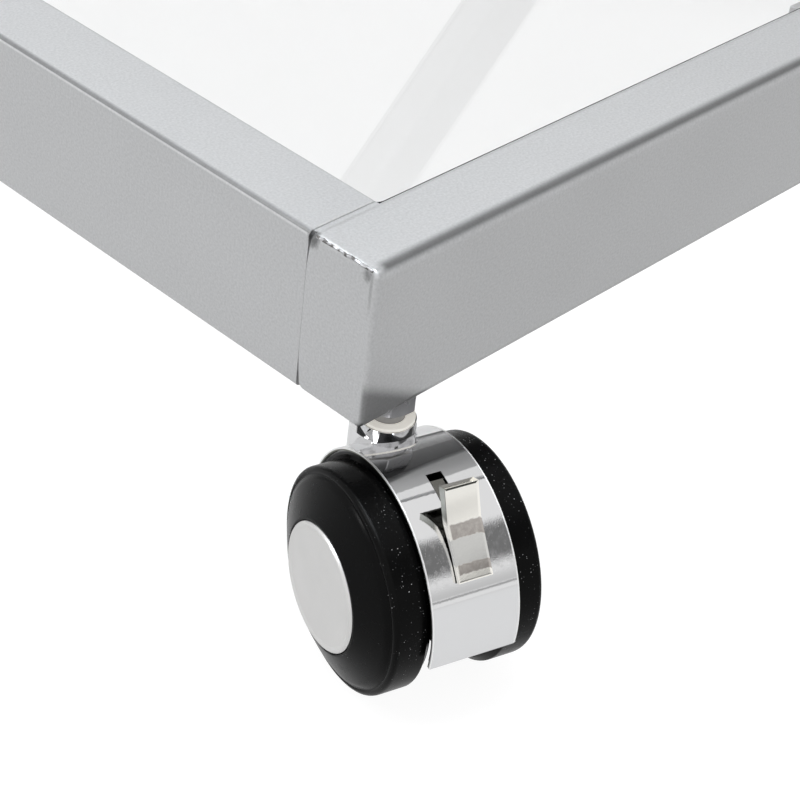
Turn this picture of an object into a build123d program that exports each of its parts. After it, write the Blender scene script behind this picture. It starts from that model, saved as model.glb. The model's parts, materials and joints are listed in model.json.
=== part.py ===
"""A two-tier bar cart: two Z-shaped side frames of rectangular steel tube, four bolted
cross rails, two clear glass shelves and four hooded twin-wheel casters, two of them locking.

Millimetres. X runs along the cart, Y from front to back, Z up. The origin is on the floor,
under the middle of the cart. The front left corner is at low X and low Y.
"""
from build123d import *
import math
import os

# Overall size of the cart
cart_length = 760.0
cart_depth = 380.0
cart_height = 850.0

# Rectangular tube of the side frames and of the cross rails
tube_tall = 40.0
tube_wide = 20.0
tube_wall = 1.5
side_corner = 2.2
rail_corner = 1.3
least_corner = 0.2
end_plate_thick = 2.0
end_plate_edge = 0.7

# Diagonal brace of each side frame
brace_face = 30.0
brace_inset = 27.0
brace_wall = 1.2

# Corner brackets, their bolts and the nuts welded inside the tubes
bracket_leg = 42.0
bracket_foot = 20.0
bracket_tall = 20.0
bracket_thick = 3.0
bracket_bend = 2.0
bolt_diameter = 6.0
bolt_hole_play = 0.2
bolt_head_diameter = 10.0
bolt_head_tall = 3.5
bolt_first = 12.0
bolt_spacing = 18.0
bolt_tail = 1.0
weld_nut_across = 10.0
weld_nut_tall = 5.0
thread_play = 0.03

# Glass shelves and what they rest on
glass_thick = 5.0
glass_drop = 3.0
glass_gap = 1.5
glass_corner = 3.0
glass_arris = 0.6
pad_diameter = 6.0
pad_thick = 1.5
tab_reach = 8.0
tab_long = 30.0
tab_thick = 3.0
tab_end_distance = 200.0

# Caster stem, its hex collar and its seat in the tube
stem_diameter = 8.0
stem_inset = 20.0
stem_thread_long = 14.0
stem_end_chamfer = 0.8
hex_across = 11.0
hex_tall = 8.3
hex_chamfer = 0.7
hex_turn = 34.0
hex_gap = 2.4
insert_diameter = 13.0
insert_tall = 10.0
stem_hole_play = 0.2

# Caster running gear
caster_heading = -107.5
trail = 17.2
wheel_radius = 26.4
wheel_tread = 8.9
wheel_bulge = 4.8
wheel_edge = 1.4
wheel_gap = 2.8
wheel_rim = 4.4
wheel_web = 3.7
wheel_hub_radius = 6.5
cap_radius = 15.2
cap_thick = 1.6
cap_proud = 0.5
cap_dish = 0.35
cap_edge = 0.45
cap_play = 0.1
axle_diameter = 6.0
axle_play = 0.05
axle_head_radius = 4.8
axle_head_thick = 1.2
axle_head_play = 0.4

# Caster hood and the die-cast body under it
hood_proud = 2.5
hood_half_width = 10.9
hood_sheet = 0.7
hood_front = -8.0
hood_back = 185.0
hood_corner = 0.5
hood_seat_play = 0.05
cup_radius = 7.6
cup_back = 1.5
cup_top = 26.3
boss_foot = 6.0
neck_radius = 6.6
neck_rise = 1.1
socket_floor = 3.0
bush_radius = 5.2
bush_flange_radius = 6.3
bush_flange_thick = 0.8
bush_play = 0.05
axle_boss_radius = 6.2
axle_boss_play = 0.3
body_half_width = 6.6
saddle_thick = 1.0
saddle_half_width = 10.2
saddle_back = 176.0
saddle_top = 112.0
saddle_front = 22.0
saddle_lip = 2.0
stem_end_play = 0.2

# Brake lever, its pin and the openings in a locking hood
lever_width = 8.4
lever_sheet = 1.0
lever_flange = 2.3
lever_top = (8.3, 66.5)
lever_knee = (3.1, 56.0)
lever_foot = (1.4, 32.2)
lever_clear = 0.45
lever_web = 3.0
lever_pin = (-3.2, 54.0)
lever_pin_diameter = 2.4
brake_bar_diameter = 2.4
brake_bar_drop = 8.0
brake_bar_back = 3.0
brake_bar_reach = 3.8
slot_half_width = 1.9
slot_top = 82.5
lever_web_rise = 0.35
lever_tongue_root = 66.0
lever_tongue_end = 79.0
slot_foot = 40.0
wing_top = 63.4
wing_half_width = 8.7
wing_mid = 55.2
wing_mid_half_width = 5.0
wing_foot = 50.9
wing_foot_half_width = 3.6
lever_pocket_play = 0.8

# Heights and places that follow from the sizes above
axle_height = wheel_radius
hood_outer = wheel_radius + hood_proud
hood_inner = hood_outer - hood_sheet
bush_top = hood_outer + neck_rise
tube_underside = axle_height + bush_top + hex_gap + hex_tall
lower_top = tube_underside + tube_tall
upper_top = cart_height
upper_underside = upper_top - tube_tall
side_y = cart_depth / 2 - tube_wide / 2
rail_x = cart_length / 2 - tube_wide / 2
inner_x = cart_length / 2 - tube_wide
inner_y = cart_depth / 2 - tube_wide
stem_x = cart_length / 2 - stem_inset
stem_radius = stem_diameter / 2
bolt_radius = bolt_diameter / 2
wheel_inner = body_half_width + wheel_gap
wheel_outer = wheel_inner + wheel_tread + wheel_bulge
cap_seat = wheel_outer + cap_proud - cap_thick
wheel_web_face = cap_seat - wheel_web
levels = {"lower": lower_top, "upper": upper_top}
ends = {"left": -1, "right": 1}
sides = {"front": -1, "back": 1}
AXLE = Axis((0, 0, 0), (0, -1, 0))


def polar(proud, angle):
    """Place a point in the wheel plane, from its height above the hood and its angle."""
    reach = hood_outer + proud
    return (reach * math.cos(math.radians(angle)), reach * math.sin(math.radians(angle)))


def tube(length, tall, wide, wall, corner):
    """Make a hollow tube along X, centred on the origin."""
    inside_corner = max(corner - wall, least_corner)
    outside = RectangleRounded(wide, tall, corner)
    inside = RectangleRounded(wide - 2 * wall, tall - 2 * wall, inside_corner)
    return extrude(Plane.YZ * (outside - inside), length / 2, both=True)


def side_profile(points, half_width):
    """Extrude a profile drawn in the wheel plane to both sides."""
    return extrude(Plane.XZ * Polygon(*points, align=None), half_width, both=True)


def turned(points):
    """Turn a profile of (radius, height) points about the vertical axis."""
    return revolve(Plane.XZ * Polygon(*points, align=None), Axis.Z)


def wheel_turned(points):
    """Turn a profile of (radius, distance from the middle) points about the axle."""
    return revolve(Polygon(*points, align=None), Axis.Y)


def band(inner, outer, half_width, start, end):
    """Make part of a ring about the axle, between two angles from straight ahead."""
    section = Pos((inner + outer) / 2, 0) * Rectangle(outer - inner, 2 * half_width)
    return Rot(0, -start, 0) * revolve(section, AXLE, revolution_arc=end - start)


# Welded side frames
def bolt_places(end):
    """Give the X of the bolts that hold one end bracket."""
    return [end * (inner_x - bolt_first - n * bolt_spacing) for n in range(2)]


def side_tube(side, top):
    """Make one tube of a side frame, drilled for its bracket bolts and caster stems."""
    length = cart_length - 2 * end_plate_thick
    piece = tube(length, tube_tall, tube_wide, tube_wall, side_corner)
    bore = Cylinder(bolt_radius + bolt_hole_play, 2 * tube_wall + 1, rotation=(90, 0, 0))
    for end in ends.values():
        for x in bolt_places(end):
            piece -= Pos(x, -side * tube_wide / 2, 0) * bore
        if top == lower_top:
            stem_bore = Cylinder(stem_radius + stem_hole_play, 2 * tube_wall + 1)
            piece -= Pos(end * stem_x, 0, -tube_tall / 2) * stem_bore
    return Pos(0, side * side_y, top - tube_tall / 2) * piece


def end_plates():
    """Make the plates that close both ends of the four side tubes."""
    blank = extrude(Plane.YZ * RectangleRounded(tube_wide, tube_tall, side_corner), end_plate_thick)
    blank = chamfer(blank.faces().sort_by(Axis.X)[-1].edges(), end_plate_edge)
    plates = []
    for top in levels.values():
        for side in sides.values():
            for end in ends.values():
                turn = Rot(0, 0, 0 if end > 0 else 180)
                seat = end * (cart_length / 2 - end_plate_thick)
                plates.append(Pos(seat, side * side_y, top - tube_tall / 2) * turn * blank)
    return Compound(children=plates)


def brace(side):
    """Make the diagonal of a side frame, cut level against the two tubes."""
    run = cart_length - 2 * brace_inset
    rise = upper_underside - lower_top
    along = Plane((0, 0, 0), x_dir=(0, 1, 0), z_dir=(-run, 0, rise))
    inside_corner = max(side_corner - brace_wall, least_corner)
    outside = RectangleRounded(tube_wide, brace_face, side_corner)
    inside = RectangleRounded(tube_wide - 2 * brace_wall, brace_face - 2 * brace_wall, inside_corner)
    piece = extrude(along * (outside - inside), math.hypot(run, rise), both=True)
    piece &= Box(2 * cart_length, 2 * tube_wide, rise)
    return Pos(0, side * side_y, lower_top + rise / 2) * piece


# Bolted cross rails
def rail(end, top):
    """Make one cross rail, which butts against the inner faces of the side tubes."""
    piece = tube(2 * inner_y, tube_tall, tube_wide, tube_wall, rail_corner)
    return Pos(end * rail_x, 0, top - tube_tall / 2) * Rot(0, 0, 90) * piece


def brackets():
    """Make the angle brackets, welded to the rails and bolted to the side tubes."""
    outline = Polygon(
        (0, 0), (bracket_leg, 0), (bracket_leg, bracket_thick), (bracket_thick, bracket_thick),
        (bracket_thick, bracket_foot), (0, bracket_foot), align=None)
    blank = extrude(outline, bracket_tall / 2, both=True)
    bend = blank.edges().filter_by(Axis.Z).sort_by_distance((bracket_thick, bracket_thick, 0))[0]
    blank = fillet(bend, bracket_bend)
    hole = Cylinder(bolt_radius + bolt_hole_play, 4 * bracket_thick, rotation=(90, 0, 0))
    for n in range(2):
        blank -= Pos(bolt_first + n * bolt_spacing, 0, 0) * hole
    pieces = []
    for top in levels.values():
        for side in sides.values():
            for end in ends.values():
                piece = blank
                if end > 0:
                    piece = mirror(piece, Plane.YZ)
                if side > 0:
                    piece = mirror(piece, Plane.XZ)
                pieces.append(Pos(end * inner_x, side * inner_y, top - tube_tall / 2) * piece)
    return Compound(children=pieces)


def at_each_bolt(blank):
    """Copy a fastener modelled along +Y from the bracket's face to every bracket bolt."""
    pieces = []
    for top in levels.values():
        for side in sides.values():
            turn = Rot(0, 0, 180 if side < 0 else 0)
            for end in ends.values():
                for x in bolt_places(end):
                    place = Pos(x, side * (inner_y - bracket_thick), top - tube_tall / 2)
                    pieces.append(place * turn * blank)
    return Compound(children=pieces)


def bolts():
    """Make the cheese-head bolts of the brackets."""
    shank_long = bracket_thick + tube_wall + weld_nut_tall + bolt_tail
    blank = Pos(0, shank_long / 2, 0) * Cylinder(bolt_radius, shank_long, rotation=(90, 0, 0))
    head = Cylinder(bolt_head_diameter / 2, bolt_head_tall, rotation=(90, 0, 0))
    blank += Pos(0, -bolt_head_tall / 2, 0) * head
    return at_each_bolt(blank)


def weld_nuts():
    """Make the hexagon nuts welded inside the side tubes."""
    outline = RegularPolygon(weld_nut_across / 2, 6, major_radius=False)
    outline -= Circle(bolt_radius + thread_play)
    blank = extrude(Plane.XZ * outline, -weld_nut_tall)
    return at_each_bolt(Pos(0, bracket_thick + tube_wall, 0) * blank)


# Glass shelves
def glass(top):
    """Make one clear shelf with rounded corners and ground edges."""
    outline = RectangleRounded(2 * (inner_x - glass_gap), 2 * (inner_y - glass_gap), glass_corner)
    piece = extrude(outline, -glass_thick)
    rims = piece.faces().filter_by(Plane.XY).edges()
    return Pos(0, 0, top - glass_drop) * chamfer(rims, glass_arris)


def tab_places():
    """Give each tab's middle on the tube face and its inward direction."""
    places = []
    for side in sides.values():
        for x in (-1, 0, 1):
            places.append((x * (cart_length / 2 - tab_end_distance), side * inner_y, 0, -side))
    for end in ends.values():
        places.append((end * inner_x, 0, -end, 0))
    return places


def tabs(top):
    """Make the tabs welded inside the frame for one shelf to rest on."""
    height = top - glass_drop - glass_thick - pad_thick - tab_thick / 2
    pieces = []
    for x, y, inward_x, inward_y in tab_places():
        long_x = tab_reach if inward_x else tab_long
        long_y = tab_reach if inward_y else tab_long
        middle = Pos(x + inward_x * tab_reach / 2, y + inward_y * tab_reach / 2, height)
        pieces.append(middle * Box(long_x, long_y, tab_thick))
    return Compound(children=pieces)


def pads(top):
    """Make the clear bumpers between the tabs and one shelf."""
    height = top - glass_drop - glass_thick - pad_thick / 2
    reach = (tab_reach + glass_gap) / 2
    pieces = []
    for x, y, inward_x, inward_y in tab_places():
        pad = Cylinder(pad_diameter / 2, pad_thick)
        pieces.append(Pos(x + inward_x * reach, y + inward_y * reach, height) * pad)
    return Compound(children=pieces)


# Casters, modelled with the stem's axis at the origin and the wheels ahead along X
def caster_places():
    """Give each caster's name, stem place and heading."""
    places = {}
    for side_name, side in sides.items():
        for end_name, end in ends.items():
            turn = caster_heading if side < 0 else caster_heading + 180
            places[f"{side_name}_{end_name}"] = Pos(end * stem_x, side * side_y, 0) * Rot(0, 0, turn)
    return places


def at_axle(piece):
    """Move a piece modelled about the axle to its place on the caster."""
    return Pos(trail, 0, axle_height) * piece


def stem():
    """Make the threaded stem with its hex collar under the tube."""
    foot = axle_height - socket_floor + stem_end_play
    head = tube_underside + stem_thread_long
    piece = Pos(0, 0, (foot + head) / 2) * Cylinder(stem_radius, head - foot)
    piece = chamfer(piece.edges().filter_by(GeomType.CIRCLE), stem_end_chamfer)
    outline = RegularPolygon(hex_across / 2, 6, major_radius=False, rotation=hex_turn)
    collar = extrude(outline, -hex_tall)
    corner = hex_across / math.sqrt(3)
    collar &= turned([
        (0, 0), (corner, 0), (corner, hex_chamfer - hex_tall),
        (corner - 2 * hex_chamfer, -hex_tall), (0, -hex_tall)])
    return piece + Pos(0, 0, tube_underside) * collar


def stem_insert():
    """Make the threaded insert welded inside the tube above a caster."""
    ring = Cylinder(insert_diameter / 2, insert_tall) - Cylinder(stem_radius + thread_play, insert_tall)
    return Pos(0, 0, tube_underside + tube_wall + insert_tall / 2) * ring


def bush():
    """Make the nylon swivel bush between the stem and the caster's body."""
    inside = stem_radius + bush_play
    foot = axle_height - socket_floor
    top = axle_height + bush_top
    seat = top - bush_flange_thick
    return turned([
        (inside, foot), (bush_radius, foot), (bush_radius, seat),
        (bush_flange_radius, seat), (bush_flange_radius, top), (inside, top)])


def lever_pin_place():
    """Give the lever pin's place in the wheel plane, from the axle."""
    return polar(*lever_pin)


def brake_bar_place():
    """Give the brake bar's place in the wheel plane, from the axle."""
    pin_x, pin_z = lever_pin_place()
    return (pin_x - brake_bar_back, pin_z - brake_bar_drop)


def caster_body():
    """Make the die-cast body: stem socket, axle boss, lever cheeks and hood saddles."""
    seat = hood_inner - hood_seat_play
    pin_x, pin_z = lever_pin_place()
    bar_x, bar_z = brake_bar_place()
    bar_radius = brake_bar_diameter / 2
    pin_radius = lever_pin_diameter / 2
    cheek_low = bar_z + bar_radius + lever_pocket_play
    cheek_nose = pin_x + pin_radius + lever_pocket_play
    cheeks = [
        (-trail, -boss_foot), (axle_boss_radius, 0), (bar_x - 3 * bar_radius, cheek_low),
        (cheek_nose, pin_z - pin_radius - lever_pocket_play), (hood_outer, pin_z),
        (hood_outer, hood_outer), (-trail, hood_outer)]
    spoke = [
        (0, -axle_boss_radius / 2), (hood_outer, -axle_boss_radius / 2),
        polar(0, saddle_front), (0, axle_boss_radius / 2)]
    core = side_profile(cheeks, body_half_width)
    core &= Cylinder(seat, 4 * hood_half_width, rotation=(90, 0, 0))
    arm = side_profile(spoke, body_half_width)
    core += arm & Cylinder(seat - saddle_thick / 2, 4 * hood_half_width, rotation=(90, 0, 0))
    pocket_foot = axle_boss_radius + lever_pocket_play
    pocket_half = lever_web / 2 + lever_pocket_play
    pocket = Box(hood_outer, 2 * pocket_half, hood_outer, align=(Align.MIN, Align.CENTER, Align.MIN))
    core -= Pos(lever_pocket_play, 0, pocket_foot) * pocket
    core += Cylinder(axle_boss_radius, 2 * (wheel_inner - axle_boss_play), rotation=(90, 0, 0))
    core += band(seat - saddle_thick, seat, saddle_half_width, saddle_top, saddle_back)
    core += band(seat - saddle_thick, seat, saddle_half_width, hood_front + saddle_lip, saddle_front)
    boss_radius = cup_radius - hood_sheet - hood_seat_play
    shoulder = cup_top - hood_sheet - hood_seat_play
    neck_top = bush_top - bush_flange_thick
    upright = (Align.CENTER, Align.CENTER, Align.MIN)
    boss = Cylinder(boss_radius, shoulder + boss_foot, align=upright)
    neck = Cylinder(neck_radius, neck_top + boss_foot, align=upright)
    socket = Pos(-trail - cup_back, 0, -boss_foot) * boss + Pos(-trail, 0, -boss_foot) * neck
    core += socket & Box(4 * trail, 2 * body_half_width, 4 * hood_outer)
    core += socket - Cylinder(seat - saddle_thick, 4 * hood_half_width, rotation=(90, 0, 0))
    bore_long = neck_top + socket_floor
    bore = Cylinder(bush_radius + bush_play, bore_long, align=upright)
    core -= Pos(-trail, 0, -socket_floor) * bore
    core -= Cylinder(axle_diameter / 2, 4 * hood_half_width, rotation=(90, 0, 0))
    core -= Pos(pin_x, 0, pin_z) * Cylinder(pin_radius, 2 * hood_half_width, rotation=(90, 0, 0))
    return at_axle(core)


def hood(locking):
    """Make the chrome hood between the wheels, with the lever's openings if it locks."""
    shell = band(hood_inner, hood_outer, hood_half_width, hood_front, hood_back)
    corners = []
    for angle in (hood_front, hood_back):
        for side in (-1, 1):
            x, z = polar(-hood_sheet / 2, angle)
            corners.append(shell.edges().sort_by_distance((x, side * hood_half_width, z))[0])
    shell = fillet(corners, hood_corner)
    upright = (Align.CENTER, Align.CENTER, Align.MIN)
    cup_place = Pos(-trail - cup_back, 0, 0)
    cup = cup_place * Cylinder(cup_radius, cup_top, align=upright)
    shell += cup - Cylinder(hood_inner, 4 * hood_half_width, rotation=(90, 0, 0))
    shell -= cup_place * Cylinder(cup_radius - hood_sheet, cup_top - hood_sheet, align=upright)
    shell -= Pos(-trail, 0, 0) * Cylinder(neck_radius + hood_seat_play, 2 * hood_outer, align=upright)
    if locking:
        shell -= band(hood_inner - 1, hood_outer + 1, slot_half_width, slot_foot, slot_top)
        out_x, out_z = polar(0, wing_mid)
        facing = Plane((0, 0, 0), x_dir=(0, 1, 0), z_dir=(out_x, 0, out_z))
        rows = (
            (wing_top, wing_half_width), (wing_mid, wing_mid_half_width), (wing_foot, wing_foot_half_width))
        right = [(half, hood_outer * math.sin(math.radians(angle - wing_mid))) for angle, half in rows]
        left = [(-half, height) for half, height in reversed(right)]
        shell -= extrude(facing * Polygon(*right, *left, align=None), 2 * hood_outer)
    return at_axle(shell)


def wheel():
    """Make one wheel, open towards the hood, with a seat for its hub cap outside."""
    rim_edge = wheel_radius - wheel_edge
    inside = axle_diameter / 2 + axle_play
    head_seat = cap_seat - axle_head_thick - axle_head_play
    head_room = axle_head_radius + axle_head_play
    cap_room = cap_radius + cap_play
    cap_lip = cap_room + axle_head_play
    rim_inside = wheel_radius - wheel_rim
    return wheel_turned([
        (inside, wheel_inner), (wheel_hub_radius, wheel_inner), (wheel_hub_radius, wheel_web_face),
        (rim_inside, wheel_web_face), (rim_inside, wheel_inner), (rim_edge, wheel_inner),
        (wheel_radius, wheel_inner + wheel_edge), (wheel_radius, wheel_inner + wheel_tread - wheel_edge),
        (wheel_radius - wheel_edge / 2, wheel_inner + wheel_tread),
        (cap_lip, wheel_outer), (cap_room, wheel_outer), (cap_room, cap_seat),
        (head_room, cap_seat), (head_room, head_seat), (inside, head_seat)])


def hub_cap():
    """Make the pressed disc that closes the outside of a wheel."""
    top = cap_seat + cap_thick
    disc = wheel_turned([
        (0, cap_seat), (cap_radius, cap_seat), (cap_radius, top - cap_edge),
        (cap_radius - cap_edge, top), (cap_radius - 3 * cap_edge, top),
        (cap_radius - 4 * cap_edge, top - cap_dish), (0, top - cap_dish)])
    return disc


def axle():
    """Make the steel axle, headed over at both ends to hold the wheels on."""
    head_foot = cap_seat - axle_head_thick
    points = [
        (0, 0), (axle_diameter / 2, 0), (axle_diameter / 2, head_foot),
        (axle_head_radius, head_foot), (axle_head_radius, cap_seat - axle_play), (0, cap_seat - axle_play)]
    half = wheel_turned(points)
    return at_axle(half + mirror(half, Plane.XZ))


def lever():
    """Make the stamped brake lever with its web and the bar that brakes both wheels."""
    top = Vector(*polar(*lever_top))
    knee = Vector(*polar(*lever_knee))
    foot = Vector(*polar(*lever_foot))
    upper_in = (knee - top).normalized().rotate(Axis.Z, -90)
    lower_in = (foot - knee).normalized().rotate(Axis.Z, -90)
    middle = (knee + foot) / 2
    knee_in = knee + (upper_in + lower_in).normalized() * (lever_flange - lever_clear)
    middle_in = middle + lower_in * lever_sheet
    foot_in = foot + lower_in * lever_sheet
    top_in = top + upper_in * lever_flange
    outline = [(p.X, p.Y) for p in (top, knee, foot, foot_in, middle_in, knee_in, top_in)]
    tray = side_profile(outline, lever_width / 2)
    upper_pad = (top - knee).normalized()
    hollow_top = top - upper_pad * lever_sheet + upper_in * lever_sheet
    hollow_knee = knee + (upper_in + lower_in).normalized() * lever_sheet
    hollow_deep = hollow_top + upper_in * lever_flange
    hollow_out = knee + (upper_in + lower_in).normalized() * (2 * lever_flange)
    hollow_foot = middle_in + lower_in * lever_flange
    hollow = [(p.X, p.Y) for p in (hollow_top, hollow_knee, middle_in, hollow_foot, hollow_out, hollow_deep)]
    tray -= side_profile(hollow, lever_width / 2 - lever_sheet)
    pin_x, pin_z = lever_pin_place()
    bar_x, bar_z = brake_bar_place()
    bar_radius = brake_bar_diameter / 2
    pin_wall = lever_pin_diameter
    web_top = knee + (top - knee) * lever_web_rise + upper_in * (lever_sheet / 2)
    web_knee = knee + (upper_in + lower_in).normalized() * (lever_sheet / 2)
    web_foot = knee + (foot - knee) / 4 + lower_in * (lever_sheet / 2)
    tongue_root = polar(-hood_sheet / 2, lever_tongue_root)
    tongue_end = polar(-hood_sheet / 2, lever_tongue_end)
    web = [
        (web_top.X, web_top.Y), (web_knee.X, web_knee.Y), (web_foot.X, web_foot.Y),
        (pin_x + pin_wall, pin_z - lever_sheet), (bar_x + bar_radius, bar_z),
        (bar_x - bar_radius, bar_z), (pin_x - 2 * pin_wall, pin_z), tongue_end, tongue_root]
    piece = tray + side_profile(web, lever_web / 2)
    bar_long = 2 * (wheel_inner + brake_bar_reach)
    piece += Pos(bar_x, 0, bar_z) * Cylinder(bar_radius, bar_long, rotation=(90, 0, 0))
    pin_hole = lever_pin_diameter / 2 + axle_play
    piece -= Pos(pin_x, 0, pin_z) * Cylinder(pin_hole, lever_width, rotation=(90, 0, 0))
    return at_axle(piece)


def lever_hinge_pin():
    """Make the pin that the lever rocks on, held in the body's cheeks."""
    pin_x, pin_z = lever_pin_place()
    pin = Cylinder(lever_pin_diameter / 2, 2 * body_half_width, rotation=(90, 0, 0))
    return at_axle(Pos(pin_x, 0, pin_z) * pin)


# All pieces by name
pieces = {}
for side_name, side in sides.items():
    pieces[f"bottom_tube_{side_name}"] = side_tube(side, lower_top)
    pieces[f"top_tube_{side_name}"] = side_tube(side, upper_top)
    pieces[f"diagonal_brace_{side_name}"] = brace(side)
pieces["tube_end_plates"] = end_plates()
for level_name, top in levels.items():
    for end_name, end in ends.items():
        pieces[f"{level_name}_rail_{end_name}"] = rail(end, top)
    pieces[f"{level_name}_glass_shelf"] = glass(top)
    pieces[f"{level_name}_shelf_tabs"] = tabs(top)
    pieces[f"{level_name}_shelf_pads"] = pads(top)
pieces["corner_brackets"] = brackets()
pieces["bracket_bolts"] = bolts()
pieces["weld_nuts"] = weld_nuts()

places = caster_places()
pieces["caster_stems"] = Compound(children=[place * stem() for place in places.values()])
pieces["stem_inserts"] = Compound(children=[place * stem_insert() for place in places.values()])
for name, place in places.items():
    locking = name.startswith("front")
    pieces[f"{name}_caster_body"] = place * caster_body()
    pieces[f"{name}_swivel_bush"] = place * bush()
    pieces[f"{name}_hood"] = place * hood(locking)
    pieces[f"{name}_axle"] = place * axle()
    for hand, turn in (("a", 180), ("b", 0)):
        pieces[f"{name}_wheel_{hand}"] = place * at_axle(Rot(0, 0, turn) * wheel())
        pieces[f"{name}_hub_cap_{hand}"] = place * at_axle(Rot(0, 0, turn) * hub_cap())
    if locking:
        pieces[f"{name}_brake_lever"] = place * lever()
        pieces[f"{name}_lever_pin"] = place * lever_hinge_pin()

os.makedirs("parts", exist_ok=True)
for name, piece in pieces.items():
    export_step(piece, f"parts/{name}.step")
print(len(pieces), "pieces written")
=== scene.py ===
# %% [markdown]
# # Dressing a bar cart
# The cart is two welded Z-shaped side frames, four cross rails, two glass shelves and four hooded
# casters. The solids arrive already in place, so this lesson only gives them edges that catch the
# light, the weld beads that a welder leaves, and the finish of each metal, plastic and glass.

# %% Load the frame
import json
import math
import bpy
from mathutils import Matrix, Vector

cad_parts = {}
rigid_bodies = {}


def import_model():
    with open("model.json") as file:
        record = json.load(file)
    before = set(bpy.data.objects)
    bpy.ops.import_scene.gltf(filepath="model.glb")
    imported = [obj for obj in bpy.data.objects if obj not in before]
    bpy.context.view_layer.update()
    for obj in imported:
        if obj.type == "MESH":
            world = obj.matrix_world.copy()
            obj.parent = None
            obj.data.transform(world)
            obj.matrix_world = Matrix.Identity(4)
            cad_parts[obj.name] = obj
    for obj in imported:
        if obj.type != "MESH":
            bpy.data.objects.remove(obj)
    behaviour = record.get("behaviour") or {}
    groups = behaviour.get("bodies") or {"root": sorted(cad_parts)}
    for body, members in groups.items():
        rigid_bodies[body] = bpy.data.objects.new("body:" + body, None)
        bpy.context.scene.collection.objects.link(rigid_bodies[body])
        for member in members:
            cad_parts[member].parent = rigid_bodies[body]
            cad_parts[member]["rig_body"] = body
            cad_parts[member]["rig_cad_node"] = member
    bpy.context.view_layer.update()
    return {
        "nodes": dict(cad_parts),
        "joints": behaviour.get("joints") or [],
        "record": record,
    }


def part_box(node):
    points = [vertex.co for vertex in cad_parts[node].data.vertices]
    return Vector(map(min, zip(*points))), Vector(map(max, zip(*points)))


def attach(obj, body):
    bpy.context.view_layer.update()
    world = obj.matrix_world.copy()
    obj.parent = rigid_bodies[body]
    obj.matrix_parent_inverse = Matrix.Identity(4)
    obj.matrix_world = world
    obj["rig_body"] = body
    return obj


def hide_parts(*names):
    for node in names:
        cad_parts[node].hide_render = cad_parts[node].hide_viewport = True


for leftover in list(bpy.data.objects):
    bpy.data.objects.remove(leftover)
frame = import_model()
nodes = frame["nodes"]
joints = {row["name"]: row for row in frame["joints"]}
CASTERS = ("front_left", "front_right", "back_left", "back_right")
LOCKING = ("front_left", "front_right")
MM = 0.001

# %% [markdown]
# ## Sums with shader sockets
# A finish is a sum of small patterns. Writing `1 - mask` is easier to read than a chain of nodes, so
# one small class lets Python do sums with sockets, and each sum adds its Math node.

# %% A socket that does sums
class Signal:
    """A number that changes over a surface."""

    def __init__(self, board, socket):
        self.board = board
        self.socket = socket

    def __add__(self, other):
        return self.board.sum("ADD", self, other)

    def __radd__(self, other):
        return self.board.sum("ADD", other, self)

    def __sub__(self, other):
        return self.board.sum("SUBTRACT", self, other)

    def __rsub__(self, other):
        return self.board.sum("SUBTRACT", other, self)

    def __mul__(self, other):
        return self.board.sum("MULTIPLY", self, other)

    def __rmul__(self, other):
        return self.board.sum("MULTIPLY", other, self)

    def __abs__(self):
        return self.board.sum("ABSOLUTE", self)

    def fade(self, start, end):
        """Rise smoothly from 0 at start to 1 at end."""
        return self.board.node("ShaderNodeMapRange", {"interpolation_type": "SMOOTHSTEP"},
                               {"Value": self, "From Min": start, "From Max": end})

    def band(self, start, full, still, end):
        """Rise from start to full, stay at 1, and fall again from still to end."""
        return self.fade(start, full) * self.fade(end, still)


print("a signal knows:", [name.strip("_") for name in vars(Signal) if callable(vars(Signal)[name])])

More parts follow.
